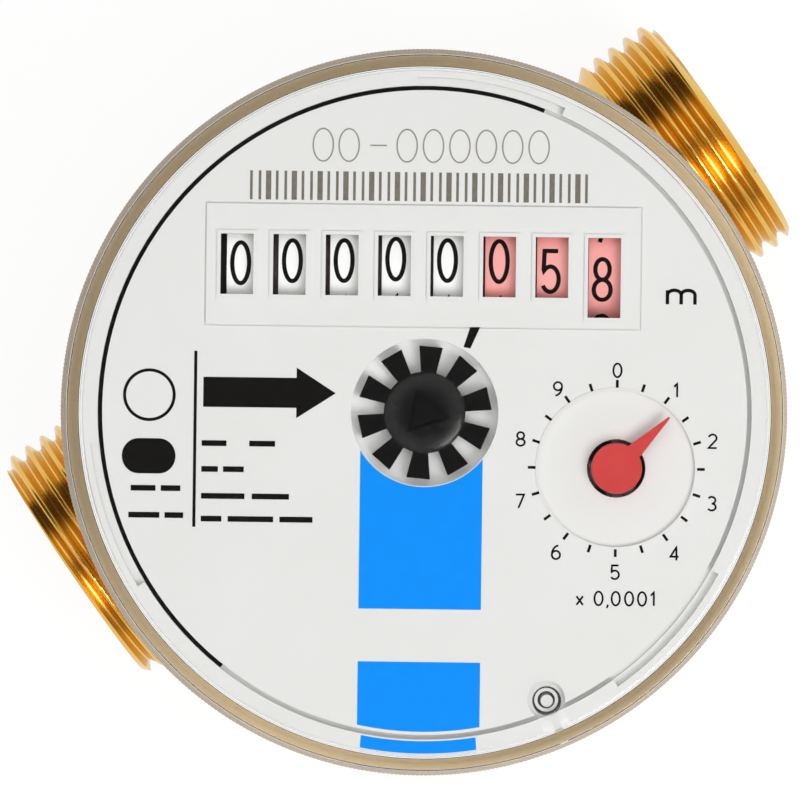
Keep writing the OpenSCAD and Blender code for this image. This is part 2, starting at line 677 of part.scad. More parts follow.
// Star wheel on the follower spindle, with the magnet that the impeller drags round
module star_wheel() color("black") on_dial() difference() {
    union() {
        translate([0, 0, star_z]) linear_extrude(star_t) for (i = [0:star_teeth - 1])
            rotate(star_phase + 360 * i / star_teeth) polygon([
                [0, -star_root_w / 2], [star_hub_d / 2, -star_root_w / 2], [star_d / 2, -star_tip_w / 2],
                [star_d / 2, star_tip_w / 2], [star_hub_d / 2, star_root_w / 2], [0, star_root_w / 2]
            ]);
        translate([0, 0, star_z]) rotate_extrude() polygon(concat(
            [[0, 0], [star_hub_d / 2, 0], [star_hub_d / 2, star_t]],
            [for (a = [15:15:90]) [star_hub_d / 2 * cos(a), star_t + 0.35 * sin(a)]]
        ));
    }
    translate([0, 0, star_z - eps]) disc(arbor_d / 2, star_t + eps);
}
module follower_spindle() color("gainsboro") on_dial() translate([0, 0, tube_z + tube_floor / 2 + 0.1])
    cylinder(d = arbor_d, h = star_z + star_t - tube_z - tube_floor / 2 - 0.1);
module follower_carrier() color("orange") difference() {
    union() {
        translate([0, 0, follower_z]) cylinder(d = magnet_bore, h = magnet_h + carrier_t);
        translate([0, 0, follower_z + magnet_h]) disc(magnet_d / 2 + 0.3, carrier_t);
    }
    arbor_bore(follower_z, magnet_h + carrier_t);
}
module follower_magnet() color("darkslategray") translate([0, 0, follower_z])
    ring(magnet_bore / 2, magnet_d / 2, magnet_h);
module star_pinion() color("khaki") on_dial() difference() {
    translate([0, 0, idler_z - 0.3])
        gear(star_teeth, idler_m, small_shift, slack, 0, gear_t + 0.6);
    arbor_bore(idler_z - 0.3, gear_t + 0.6);
}

// Idler between the star wheel's pinion and the pointer
module idler_arbor() color("gainsboro") on_dial() at(idler_at, deck_z - pivot_depth + 0.1)
    cylinder(d = arbor_d, h = bridge_z + bridge_t - deck_z + pivot_depth - 0.1);
module idler_wheel() color("khaki") on_dial() at(idler_at, 0) difference() {
    union() {
        translate([0, 0, idler_z]) gear(idler_teeth, idler_m, -small_shift, slack, idler_turn, gear_t);
        translate([0, 0, pointer_gear_z - 0.3]) gear(idler_pinion_teeth, pointer_m, small_shift, slack, 0,
            idler_z - pointer_gear_z + 0.3 + gear_t / 2);
    }
    arbor_bore(pointer_gear_z - 0.3, idler_z - pointer_gear_z + gear_t + 0.3);
}

// Pointer with its arbor and both of its gears
module pointer() color("red") on_dial() at(pointer_at, 0) difference() {
    union() {
        translate([0, 0, dial_under + 0.1])
            cylinder(d = pointer_hub_d, h = blade_z + pointer_t - dial_under - 0.1);
        translate([0, 0, blade_z]) rotate(pointer_turn) linear_extrude(pointer_t)
            polygon([[0, -0.95], [pointer_hub_d / 2, -0.75], [pointer_len, -0.1], [pointer_len, 0.1],
                [pointer_hub_d / 2, 0.75], [0, 0.95]]);
    }
    arbor_bore(dial_under, blade_z - dial_under);
}
module pointer_arbor() color("gainsboro") on_dial() at(pointer_at, deck_z - pivot_depth + 0.1)
    cylinder(d = arbor_d, h = blade_z - deck_z + pivot_depth - 0.1);
module pointer_wheel() color("khaki") on_dial() at(pointer_at, 0) difference() {
    union() {
        translate([0, 0, pointer_gear_z])
            gear(pointer_teeth, pointer_m, -small_shift, slack, pointer_gear_turn, gear_t);
        translate([0, 0, drive_z + gear_t]) disc(arbor_d / 2 + 1.4, pointer_gear_z - drive_z);
    }
    arbor_bore(drive_z + gear_t, pointer_gear_z - drive_z);
}
module drive_wheel() color("khaki") on_dial() at(pointer_at, drive_z) difference() {
    gear(drive_teeth, drive_m, 0, slack, 0, gear_t);
    arbor_bore(0, gear_t);
}

// Upright worm that turns the counter
module worm_arbor() color("gainsboro") on_dial() at(worm_at, deck_z - pivot_depth + 0.1)
    cylinder(d = arbor_d, h = bridge_z + bridge_t - deck_z + pivot_depth - 0.1);
function worm_half(h) = 360 * (worm_pitch / 4 - worm_slack / 2 - h * tan(pressure)) / worm_pitch;
module worm() color("khaki") on_dial() at(worm_at, row_z - worm_h / 2) difference() {
    rotate(90 + 180 * worm_h / worm_pitch)
        linear_extrude(worm_h, twist = 360 * worm_h / worm_pitch, slices = 90, $fn = 18) polygon(concat(
            [for (a = [-1:0.5:1]) polar(worm_tip_r, a * worm_half(worm_tip_r - worm_r))],
            let (a0 = worm_half(worm_root_r - worm_r))
            [for (k = [0:8]) polar(worm_root_r, a0 + (360 - 2 * a0) * k / 8)]
        ));
    arbor_bore(0, worm_h);
}
module worm_pinion() color("khaki") on_dial() at(worm_at, drive_z) difference() {
    union() {
        gear(worm_pinion_teeth, drive_m, 0, slack, worm_pinion_turn, gear_t);
        disc(arbor_d / 2 + 0.8, gear_t + 1);
    }
    arbor_bore(0, gear_t + 1);
}
module worm_wheel() color("khaki") on_dial() on_row(worm_at[0] - worm_wheel_t / 2) difference() {
    gear(worm_wheel_teeth, worm_m, 0, worm_slack, 180 + 180 / worm_wheel_teeth, worm_wheel_t);
    translate([0, 0, -eps]) cylinder(d = shaft_d, h = worm_wheel_t + 2 * eps);
}
module counter_shaft() color("silver") on_dial() on_row(frame_left)
    cylinder(d = shaft_d, h = worm_at[0] + worm_wheel_t / 2 - frame_left);

// Number wheels: toothed ring on the right, locking ring with the two carry teeth on the left
module carry_sector(a, spread, r) rotate(a) polygon([[0, 0], polar(2 * r, -spread), polar(2 * r, spread)]);
module number_wheel(i) {
    left = i == 1 ? wheel_w / 2 + 0.1 : (wheel_pitch - hub_gap) / 2;
    right = i == wheels ? wheel_w / 2 + 0.1 : (wheel_pitch - hub_gap) / 2;
    bore_r = i == wheels ? shaft_d / 2 : shaft_d / 2 + run_gap;
    carry = pinion_dir - carry_lead - 36 * reading[i - 1];
    on_dial() on_row(wheel_x(i)) {
        rotate_extrude() polygon([
            [bore_r, -left], [wheel_hub_r, -left], [wheel_hub_r, wheel_w / 2 - wheel_web],
            [rim_in_r, wheel_w / 2 - wheel_web], [rim_in_r, -wheel_w / 2], [wheel_r, -wheel_w / 2],
            [wheel_r, wheel_w / 2], [wheel_hub_r, wheel_w / 2], [wheel_hub_r, right], [bore_r, right]
        ]);
        if (i < wheels) translate([0, 0, wheel_w / 2 - wheel_web / 2])
            linear_extrude(tooth_end - wheel_w / 2 + wheel_web / 2) difference() {
                polygon(gear_points(transfer_teeth, transfer_m, -transfer_shift, counter_slack,
                    pinion_dir + 180 / transfer_teeth, all_teeth(transfer_teeth)));
                circle(r = ring_hole_r);
            }
        if (i > 1) translate([0, 0, -tooth_end])
            linear_extrude(tooth_end - wheel_w / 2 + wheel_web / 2) difference() {
                union() {
                    difference() {
                        circle(r = lock_r);
                        carry_sector(carry, 360 / transfer_teeth, lock_r);
                    }
                    intersection() {
                        polygon(gear_points(transfer_teeth, transfer_m, -transfer_shift, counter_slack,
                            carry + 180 / transfer_teeth, all_teeth(transfer_teeth)));
                        carry_sector(carry, 360 / transfer_teeth + 1, lock_r);
                    }
                }
                circle(r = ring_hole_r);
            }
    }
}
module white_wheel(i) color("white") number_wheel(i);
module pink_wheel(i) color("lightcoral") number_wheel(i);
module number_wheel_1() white_wheel(1);
module number_wheel_2() white_wheel(2);
module number_wheel_3() white_wheel(3);
module number_wheel_4() white_wheel(4);
module number_wheel_5() white_wheel(5);
module number_wheel_6() pink_wheel(6);
module number_wheel_7() pink_wheel(7);
module number_wheel_8() pink_wheel(8);

// Transfer pinions: eight teeth towards the slower wheel, every second one towards the faster wheel
module transfer_pinion(i) color("khaki") on_dial()
    translate([wheel_x(i) + wheel_w / 2 + pinion_play, pinion_y, pinion_z]) rotate([90, 0, 90]) {
        half = (wheel_pitch - wheel_w) / 2 - pinion_play;
        turn = pinion_dir + 180;
        difference() {
            union() {
                gear(pinion_teeth, transfer_m, transfer_shift, counter_slack, turn, half);
                linear_extrude(2 * half) polygon(gear_points(pinion_teeth, transfer_m, transfer_shift,
                    counter_slack, turn, [1, 3, 5, 7]));
                disc(pinion_root_r + 0.06, 2 * half);
            }
            translate([0, 0, -eps]) cylinder(r = pinion_shaft_d / 2 + run_gap, h = 2 * half + 2 * eps);
        }
    }
module transfer_pinion_1() transfer_pinion(1);
module transfer_pinion_2() transfer_pinion(2);
module transfer_pinion_3() transfer_pinion(3);
module transfer_pinion_4() transfer_pinion(4);
module transfer_pinion_5() transfer_pinion(5);
module transfer_pinion_6() transfer_pinion(6);
module transfer_pinion_7() transfer_pinion(7);

brass_body();
inlet_strainer();
lower_bearing();
separator_plate();
separator_seal();
upper_bearing();
retaining_ring();
magnet_shield();
lock_ring();
impeller();
impeller_spindle();
impeller_magnet();
register_housing();
counter_frame();
pinion_shaft();
gear_bridge();
bridge_screws();
dial_plate();
clear_cover();
star_wheel();
follower_spindle();
follower_carrier();
follower_magnet();
star_pinion();
idler_arbor();
idler_wheel();
pointer();
pointer_arbor();
pointer_wheel();
drive_wheel();
worm_arbor();
worm();
worm_pinion();
counter_shaft();
worm_wheel();
number_wheel_1();
number_wheel_2();
number_wheel_3();
number_wheel_4();
number_wheel_5();
number_wheel_6();
number_wheel_7();
number_wheel_8();
transfer_pinion_1();
transfer_pinion_2();
transfer_pinion_3();
transfer_pinion_4();
transfer_pinion_5();
transfer_pinion_6();
transfer_pinion_7();
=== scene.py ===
import json
import math

import bpy
from mathutils import Matrix, Vector

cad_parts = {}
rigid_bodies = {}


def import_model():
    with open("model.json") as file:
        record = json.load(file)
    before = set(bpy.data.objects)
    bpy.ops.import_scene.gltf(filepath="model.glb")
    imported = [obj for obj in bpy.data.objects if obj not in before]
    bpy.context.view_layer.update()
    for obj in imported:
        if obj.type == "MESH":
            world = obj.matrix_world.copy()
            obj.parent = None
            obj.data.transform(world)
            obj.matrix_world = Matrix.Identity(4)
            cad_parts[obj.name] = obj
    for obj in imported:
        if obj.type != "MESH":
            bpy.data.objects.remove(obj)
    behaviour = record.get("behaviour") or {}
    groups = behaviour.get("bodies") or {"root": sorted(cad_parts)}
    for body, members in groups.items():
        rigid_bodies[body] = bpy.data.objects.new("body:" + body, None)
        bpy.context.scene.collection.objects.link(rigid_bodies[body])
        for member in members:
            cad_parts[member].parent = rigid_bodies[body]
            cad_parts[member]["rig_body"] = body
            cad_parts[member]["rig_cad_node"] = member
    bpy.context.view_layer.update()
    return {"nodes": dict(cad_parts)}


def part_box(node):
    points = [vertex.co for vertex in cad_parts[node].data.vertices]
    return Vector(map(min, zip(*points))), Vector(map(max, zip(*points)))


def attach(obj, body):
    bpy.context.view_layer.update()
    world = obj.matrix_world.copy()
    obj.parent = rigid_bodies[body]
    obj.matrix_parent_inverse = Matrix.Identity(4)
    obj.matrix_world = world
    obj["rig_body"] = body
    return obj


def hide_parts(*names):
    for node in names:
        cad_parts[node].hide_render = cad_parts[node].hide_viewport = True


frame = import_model()

# ---- Brass body --------------------------------------------------------------------------
# The wet half of the meter is one hot-pressed brass piece. Its pipe ends are turned and cut
# with a pipe thread of fourteen to the inch, then the whole piece is tumbled to a warm shine.
mm = 0.001
nodes = frame["nodes"]
thread_radius = 13.22 * mm
thread_depth = 1.16 * mm
thread_pitch = 1.814 * mm
thread_length = 8.3 * mm
thread_turns = 6
thread_steps = 72
thread_start = 0.35 * mm
smooth_angle = math.radians(32)
flat_angle = math.radians(0.5)
join_distance = 0.002 * mm


def linear(hex_colour):
    """An sRGB hex colour as linear RGBA."""
    parts = [int(hex_colour[i:i + 2], 16) / 255 for i in (1, 3, 5)]
    return [p / 12.92 if p <= 0.04045 else ((p + 0.055) / 1.055) ** 2.4 for p in parts] + [1]


def new_material(name):
    """An empty material with nodes."""
    material = bpy.data.materials.new(name)
    material.use_nodes = True
    material.node_tree.nodes.clear()
    return material


def add_node(material, kind, values=(), links=(), **settings):
    """Adds one shader node: settings are its own options, values and links go to its sockets."""
    node = material.node_tree.nodes.new("ShaderNode" + kind)
    for option, value in settings.items():
        setattr(node, option, value)
    for socket, value in dict(values).items():
        node.inputs[socket].default_value = value
    for socket, output in dict(links).items():
        material.node_tree.links.new(output, node.inputs[socket])
    return node


def dress(material, *pieces):
    """Gives pieces, or CAD nodes by name, this one material."""
    for piece in pieces:
        mesh = nodes[piece].data if isinstance(piece, str) else piece.data
        mesh.materials.clear()
        mesh.materials.append(material)


def start_fresh():
    """Leaves nothing selected, so that an operator acts on the next piece alone."""
    bpy.ops.object.select_all(action="DESELECT")


def copy_of(node, name):
    """A copy of a CAD node with its corners joined, ready to be reshaped."""
    start_fresh()
    piece = nodes[node].copy()
    piece.data = nodes[node].data.copy()
    piece.name = piece.data.name = name
    piece.parent = None
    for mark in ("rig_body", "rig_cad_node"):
        del piece[mark]
    bpy.context.scene.collection.objects.link(piece)
    bpy.context.view_layer.objects.active = piece
    piece.select_set(True)
    if piece.data.has_custom_normals:
        bpy.ops.mesh.customdata_custom_splitnormals_clear()
    bpy.ops.object.mode_set(mode="EDIT")
    bpy.ops.mesh.select_all(action="SELECT")
    bpy.ops.mesh.remove_doubles(threshold=join_distance)
    bpy.ops.mesh.dissolve_limited(angle_limit=flat_angle)
    bpy.ops.object.mode_set(mode="OBJECT")
    return piece


def apply_modifier(piece, kind, **settings):
    """Adds a modifier to a piece and applies it at once."""
    bpy.context.view_layer.objects.active = piece
    modifier = piece.modifiers.new(kind.lower(), kind)
    for option, value in settings.items():
        setattr(modifier, option, value)
    bpy.ops.object.modifier_apply(modifier=modifier.name)


def shade(piece):
    """Smooth faces, with edges kept where the surface turns sharply, and wide flat faces kept flat."""
    start_fresh()
    piece.select_set(True)
    bpy.context.view_layer.objects.active = piece
    bpy.ops.object.shade_smooth_by_angle(angle=smooth_angle)
    apply_modifier(piece, "WEIGHTED_NORMAL", keep_sharp=True)


def turned(name, profile, steps, offset=0.0, turns=1):
    """A closed profile of (radius, height) turned about Z, or wound into a coil with an offset per turn."""
    start_fresh()
    bpy.ops.mesh.primitive_circle_add(vertices=len(profile))
    piece = bpy.context.object
    piece.name = piece.data.name = name
    for corner, (radius, height) in zip(piece.data.vertices, profile):
        corner.co = (radius, 0, height)
    apply_modifier(piece, "SCREW", axis="Z", screw_offset=offset, iterations=turns, steps=steps,
                   render_steps=steps, use_merge_vertices=offset == 0, merge_threshold=0.001 * mm,
                   use_smooth_shade=False)
    bpy.ops.object.mode_set(mode="EDIT")
    bpy.ops.mesh.select_all(action="SELECT")
    bpy.ops.mesh.fill_holes(sides=len(profile))
    bpy.ops.mesh.select_all(action="SELECT")
    bpy.ops.mesh.normals_make_consistent(inside=False)
    bpy.ops.object.mode_set(mode="OBJECT")
    return piece


body_low, body_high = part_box("brass_body")
strainer_low, strainer_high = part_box("inlet_strainer")
pipe_middle = (strainer_low + strainer_high) / 2
threaded_body = copy_of("brass_body", "threaded_body")

# half of one thread groove as (radius, half width), rounded at its root and at the crest
groove_half = [(-thread_depth, 0.08 * mm), (-0.93 * thread_depth, 0.2 * mm), (-0.2 * thread_depth, 0.61 * mm),
               (-0.05 * thread_depth, 0.72 * mm), (0.0, 0.82 * mm), (0.24 * mm, 0.875 * mm)]
groove = [(thread_radius + rise, -half) for rise, half in groove_half]
groove += [(thread_radius + rise, half) for rise, half in reversed(groove_half)]
for side, end_x in ((1, body_high.x), (-1, body_low.x)):
    groove_tool = turned("groove_tool", groove, thread_steps, thread_pitch, thread_turns)
    groove_tool.data.transform(
        Matrix.Translation((end_x - side * (thread_length - thread_start), pipe_middle.y, pipe_middle.z))
        @ Matrix.Rotation(side * math.pi / 2, 4, "Y"))
    apply_modifier(threaded_body, "BOOLEAN", object=groove_tool, operation="DIFFERENCE", solver="EXACT")
    bpy.data.objects.remove(groove_tool)
shade(threaded_body)

# Brass, tumbled and polished: warm gold with soft clouds in its gloss and the fine grain of the
# die. The flange is painted a pale matt tan without metal: painted light, as the cover's foot shades it.
pale_flange_height = 34 * mm
pale_flange_blend = 0.2 * mm
pale_flange_roughness = 0.5
brass = new_material("polished_brass")
brass_place = add_node(brass, "TexCoord").outputs["Object"]
brass_clouds = add_node(brass, "TexNoise", {"Scale": 1 / (5 * mm), "Detail": 4}, {"Vector": brass_place})
brass_grain = add_node(brass, "TexNoise", {"Scale": 1 / (0.5 * mm), "Detail": 3}, {"Vector": brass_place})
brass_tone = add_node(brass, "MixRGB", {"Color1": linear("#DDAB4C"), "Color2": linear("#ECC56C")},
                      {"Fac": brass_clouds.outputs["Fac"]})
brass_gloss = add_node(brass, "MapRange", {"From Min": 0.3, "From Max": 0.7, "To Min": 0.17, "To Max": 0.27},
                       {"Value": brass_clouds.outputs["Fac"]})
brass_height = add_node(brass, "SeparateXYZ", links={"Vector": brass_place})
# painted light: above this height the brass is painted pale tan and loses its metal, so that it looks lit
brass_painted_light = add_node(brass, "MapRange", {"From Min": pale_flange_height, "From Max": pale_flange_height + pale_flange_blend},
                       {"Value": brass_height.outputs["Z"]})
brass_colour = add_node(brass, "MixRGB", {"Color2": linear("#FCE2B6")},
                        {"Fac": brass_painted_light.outputs["Result"], "Color1": brass_tone.outputs["Color"]})
brass_finish = add_node(brass, "Math", {1: pale_flange_roughness},
                        {0: brass_painted_light.outputs["Result"], 2: brass_gloss.outputs["Result"]},
                        operation="MULTIPLY_ADD")
brass_relief = add_node(brass, "Bump", {"Strength": 0.12, "Distance": 0.04 * mm},
                        {"Height": brass_grain.outputs["Fac"]})
brass_metal = add_node(brass, "MapRange", {"To Min": 1.0, "To Max": 0.0},
                       {"Value": brass_painted_light.outputs["Result"]})
brass_surface = add_node(brass, "BsdfPrincipled",
                         links={"Base Color": brass_colour.outputs["Color"],
                                "Roughness": brass_finish.outputs["Value"],
                                "Normal": brass_relief.outputs["Normal"],
                                "Metallic": brass_metal.outputs["Result"]})
add_node(brass, "OutputMaterial", links={"Surface": brass_surface.outputs["BSDF"]})
dress(brass, threaded_body)
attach(threaded_body, "meter_body")
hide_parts("brass_body")

# ---- Inside the wet chamber --------------------------------------------------------------
# A slotted strainer, the impeller on its steel spindle with a ferrite magnet, and two bushes.
# The plastic pieces are moulded acetal, with the slight clouding that acetal shows.


def moulded(name, light, dark, roughness, cloud=6.0, grain=0.25, relief=0.1, **shader):
    """Injection-moulded plastic: two close tones in clouds, and the mould's fine grain in gloss and relief.
    Cloud and grain are sizes in millimetres."""
    plastic = new_material(name)
    place = add_node(plastic, "TexCoord").outputs["Object"]
    clouds = add_node(plastic, "TexNoise", {"Scale": 1 / (cloud * mm), "Detail": 4}, {"Vector": place})
    specks = add_node(plastic, "TexNoise", {"Scale": 1 / (grain * mm), "Detail": 3}, {"Vector": place})
    tone = add_node(plastic, "MixRGB", {"Color1": linear(dark), "Color2": linear(light)},
                    {"Fac": clouds.outputs["Fac"]})
    gloss = add_node(plastic, "MapRange", {"From Min": 0.3, "From Max": 0.7,
                                           "To Min": roughness - 0.05, "To Max": roughness + 0.07},
                     {"Value": specks.outputs["Fac"]})
    grains = add_node(plastic, "Bump", {"Strength": relief, "Distance": 0.02 * mm},
                      {"Height": specks.outputs["Fac"]})
    surface = add_node(plastic, "BsdfPrincipled", {"IOR": 1.49, **shader},
                       {"Base Color": tone.outputs["Color"], "Roughness": gloss.outputs["Result"],
                        "Normal": grains.outputs["Normal"]})
    add_node(plastic, "OutputMaterial", links={"Surface": surface.outputs["BSDF"]})
    return plastic


cream_acetal = moulded("moulded_cream_acetal", "#EFE8D6", "#E4DAC2", 0.38)
dress(cream_acetal, "inlet_strainer", "impeller")


def ground_steel(name, light, dark, roughness, line=0.15):
    """Ground stainless steel: fine lines across the piece that stretch its gloss. Line is in millimetres."""
    steel = new_material(name)
    place = add_node(steel, "TexCoord").outputs["Object"]
    stretched = add_node(steel, "Mapping", {"Scale": (1, 1, 6)}, {"Vector": place})
    lines = add_node(steel, "TexNoise", {"Scale": 1 / (line * mm), "Detail": 3},
                     {"Vector": stretched.outputs["Vector"]})
    tone = add_node(steel, "MixRGB", {"Color1": linear(dark), "Color2": linear(light)},
                    {"Fac": lines.outputs["Fac"]})
    gloss = add_node(steel, "MapRange", {"From Min": 0.3, "From Max": 0.7,
                                         "To Min": roughness - 0.06, "To Max": roughness + 0.1},
                     {"Value": lines.outputs["Fac"]})
    surface = add_node(steel, "BsdfPrincipled", {"Metallic": 1.0},
                       {"Base Color": tone.outputs["Color"], "Roughness": gloss.outputs["Result"]})
    add_node(steel, "OutputMaterial", links={"Surface": surface.outputs["BSDF"]})
    return steel


bearing_steel = ground_steel("ground_steel", "#D2D3D6", "#B7B9BD", 0.28)
dress(bearing_steel, "impeller_spindle", "lower_bearing", "upper_bearing", "follower_spindle", "idler_arbor",
      "pointer_arbor", "worm_arbor", "counter_shaft", "pinion_shaft", "bridge_screws")
ferrite = moulded("pressed_ferrite", "#3B3D40", "#2A2B2E", 0.55, cloud=2.0, grain=0.12, relief=0.3)
dress(ferrite, "impeller_magnet", "follower_magnet")

# ---- Separator, seal, retaining ring and magnet shield -----------------------------------
# A black glass-filled plate closes the wet side on a rubber ring, and a brass ring screws down
# on it. A zinc-plated steel ring around the magnets keeps outside magnets from stopping them.
filled_nylon = moulded("glass_filled_nylon", "#35363A", "#26272A", 0.5, cloud=1.5, grain=0.15, relief=0.35)
dress(filled_nylon, "separator_plate")
seal_rubber = moulded("seal_rubber", "#17171A", "#0F0F11", 0.7, cloud=1.0, grain=0.1, relief=0.4)
dress(seal_rubber, "separator_seal")
dress(brass, "retaining_ring")
zinc_steel = ground_steel("zinc_plated_steel", "#BFC3C6", "#9EA3A8", 0.36, line=0.4)
dress(zinc_steel, "magnet_shield")

# ---- Lock ring ---------------------------------------------------------------------------
# A thin beige-grey ring, moulded in nylon, that snaps over the flange and the cover's foot.
# It stays with the body, and its outside carries fine upright ribs.
ring_low, ring_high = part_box("lock_ring")
ring_outer = ring_high.x
ring_inner = ring_outer - 0.55 * mm
lip_inner = ring_outer - 0.85 * mm
lip_under = ring_high.z - 1.0 * mm
ring_edge = 0.3 * mm
bead_top = ring_low.z + 2.1 * mm
bead_height = 0.9 * mm
bead_inner = ring_outer - 1.0 * mm
rib_count = 540
rib_depth = 0.05 * mm
ring_profile = [
    (ring_inner, ring_low.z), (ring_outer - ring_edge, ring_low.z), (ring_outer, ring_low.z + ring_edge),
    (ring_outer, ring_high.z - ring_edge), (ring_outer - ring_edge, ring_high.z), (lip_inner, ring_high.z),
    (lip_inner, lip_under), (ring_inner, lip_under), (ring_inner, bead_top), (bead_inner, bead_top),
    (bead_inner, bead_top - bead_height / 2), (ring_inner, bead_top - bead_height)]
ribbed_ring = turned("ribbed_lock_ring", ring_profile, 2 * rib_count)
for corner in ribbed_ring.data.vertices:
    reach = corner.co.xy.length
    step = round(math.atan2(corner.co.y, corner.co.x) * rib_count / math.pi)
    if step % 2 and reach > ring_outer - 1.2 * ring_edge:
        corner.co.xy *= 1 - rib_depth / reach
ring_nylon = moulded("moulded_beige_nylon", "#BDAF9D", "#AD9F8D", 0.42, cloud=4.0)
dress(ring_nylon, ribbed_ring)
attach(ribbed_ring, "meter_body")
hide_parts("lock_ring")

# ---- Register housing --------------------------------------------------------------------
# The white cup that holds the counter, moulded in ABS with a satin finish. Its rim shows
# around the dial, and the blue band of the dial runs on across it.
white_abs = moulded("moulded_white_abs", "#E8E8E7", "#E1E1DF", 0.36, cloud=9.0, relief=0.05)
dress(white_abs, "register_housing")


def recolour(plastic, core, keep, limit, ceiling=None, blend=0.05 * mm, **mapping):
    """Gives a plastic a second colour where the kept axes of its mapped place are shorter than a limit,
    and below a ceiling if there is one."""
    surface = next(node for node in plastic.node_tree.nodes if node.type == "BSDF_PRINCIPLED")
    tone = surface.inputs["Base Color"].links[0].from_socket
    place = add_node(plastic, "TexCoord").outputs["Object"]
    mapped = add_node(plastic, "Mapping", mapping, {"Vector": place})
    kept = add_node(plastic, "VectorMath", {1: keep}, {0: mapped.outputs["Vector"]}, operation="MULTIPLY")
    reach = add_node(plastic, "VectorMath", links={0: kept.outputs["Vector"]}, operation="LENGTH")
    share = add_node(plastic, "MapRange", {"From Min": limit - blend, "From Max": limit},
                     {"Value": reach.outputs["Value"]}).outputs["Result"]
    if ceiling:
        height = add_node(plastic, "SeparateXYZ", links={"Vector": place})
        above = add_node(plastic, "MapRange", {"From Min": ceiling - blend, "From Max": ceiling},
                         {"Value": height.outputs["Z"]})
        share = add_node(plastic, "Math", links={0: share, 1: above.outputs["Result"]},
                         operation="MAXIMUM").outputs["Value"]
    mixed = add_node(plastic, "MixRGB", {"Color1": linear(core)}, {"Fac": share, "Color2": tone})
    plastic.node_tree.links.new(mixed.outputs["Color"], surface.inputs["Base Color"])


# painted shade: the cup is painted near-black inside, under the ledge that the dial rests on
cup_radius = 31.75 * mm
cup_ledge = 58.45 * mm
recolour(white_abs, "#141313", (1, 1, 0), cup_radius, cup_ledge)
dial_turn = math.radians(-35)
plate_top = 59.75 * mm
ink_sink = 0.01 * mm
ink_rise = 0.03 * mm
to_row = Matrix.Rotation(dial_turn, 4, "Z")


def arc(middle_x, middle_y, radius_x, radius_y, first, last, step=10):
    """Points of an elliptic arc from one angle to another, in degrees."""
    count = max(4, round(abs(last - first) / step))
    angles = [math.radians(first + (last - first) * k / count) for k in range(count + 1)]
    return [(middle_x + radius_x * math.cos(a), middle_y + radius_y * math.sin(a)) for a in angles]


def ink_piece(name, patches, material, body, lay):
    """Thin closed films of ink or foil. Each patch is (corners, faces) in the plane, and lay puts a
    corner in place."""
    corners, faces = [], []
    for patch_corners, patch_faces in patches:
        faces += [[len(corners) + k for k in face] for face in patch_faces]
        corners += [lay(Vector(corner) * mm) for corner in patch_corners]
    mesh = bpy.data.meshes.new(name)
    mesh.from_pydata(corners, [], faces)
    piece = bpy.data.objects.new(name, mesh)
    bpy.context.scene.collection.objects.link(piece)
    apply_modifier(piece, "SOLIDIFY", thickness=ink_rise, offset=1)
    dress(material, piece)
    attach(piece, body)
    return piece


def on_plate(height):
    """A way to lay a flat corner of the dial's own frame at this height."""
    return lambda corner: to_row @ Vector((corner.x, corner.y, height - ink_sink))


def field(*outline):
    """One filled outline, its corners counted so that it faces up."""
    doubled = sum(a[0] * b[1] - b[0] * a[1] for a, b in zip(outline, outline[1:] + outline[:1]))
    order = range(len(outline))
    return list(outline), [list(order if doubled > 0 else reversed(order))]


# Screen-printed foil: flat saturated colour with a trace of the screen in it.
blue_ink = moulded("blue_print", "#0094FF", "#008CF6", 0.32, cloud=1.2, grain=0.12, relief=0.06,
                   **{"Specular IOR Level": 0.05})
band_middle = -0.25
band_half = 5.92
rim_inner = 31.75
rim_outer = 32.95
rim_half = math.degrees(math.asin(band_half / rim_outer))
rim_middle = -90 + math.degrees(band_middle / rim_outer)
inner_trim, outer_trim = 0.3, 0.5
rim_band = field(*arc(0, 0, rim_inner, rim_inner, rim_middle - rim_half + inner_trim,
                      rim_middle + rim_half - inner_trim, 2),
                 *arc(0, 0, rim_outer, rim_outer, rim_middle + rim_half - outer_trim,
                      rim_middle - rim_half + outer_trim, 2))
ink_piece("rim_band", [rim_band], blue_ink, "register", on_plate(plate_top))

# ---- Gear train --------------------------------------------------------------------------
# Small moulded acetal gears under a pressed bridge carry the turns of the star wheel to the
# pointer and to the worm of the counter. All of it sits below the dial.
gear_acetal = moulded("moulded_gear_acetal", "#E7DDB8", "#DACFA6", 0.4)
dress(gear_acetal, "star_pinion", "idler_wheel", "pointer_wheel", "drive_wheel", "worm", "worm_pinion",
      "worm_wheel", *[f"transfer_pinion_{i}" for i in range(1, 8)])
carrier_acetal = moulded("moulded_orange_acetal", "#E39A3C", "#D58A2C", 0.42)
dress(carrier_acetal, "follower_carrier")
bridge_steel = ground_steel("pressed_bridge_steel", "#C9CACC", "#B0B2B5", 0.3, line=0.3)
dress(bridge_steel, "gear_bridge")
frame_abs = moulded("moulded_grey_abs", "#6A686C", "#5C5A5E", 0.45)
dress(frame_abs, "counter_frame")

# ---- Number wheels -----------------------------------------------------------------------
# Eight moulded wheels, five white for whole units and three pink for the parts of one. The
# figures are hot-stamped in black on the rims, ten to a wheel.
wheel_white = moulded("moulded_white_wheel", "#FEFEFD", "#FAFAF8", 0.4, relief=0.05)
wheel_pink = moulded("moulded_pink_wheel", "#FFB0AB", "#F99F9A", 0.4, cloud=2.5, relief=0.05)
black_ink = moulded("black_print", "#0F0C0B", "#080706", 0.45, cloud=1.0, grain=0.1, relief=0.12,
                    **{"Specular IOR Level": 0.08})
white_wheels = 5
wheel_count = 8
wheel_radius = 9.0 * mm
rim_shown = 0.15 * mm
row_y = 14.15 * mm
row_z = 49.8 * mm
wheel_pitch = 5.0 * mm
figure_shift = -0.46 * mm
figure_width = 2.05
figure_height = 4.4
figure_stroke = 0.42
reading = [0, 0, 0, 0, 0, 0, 5, 8]
# how far each wheel has stopped from the middle of its window, in degrees
wheel_lag = [0.8, 2.5, 3.0, 4.3, 3.8, 3.6, -2.3, -7.0]
digit_turn = math.radians(36)
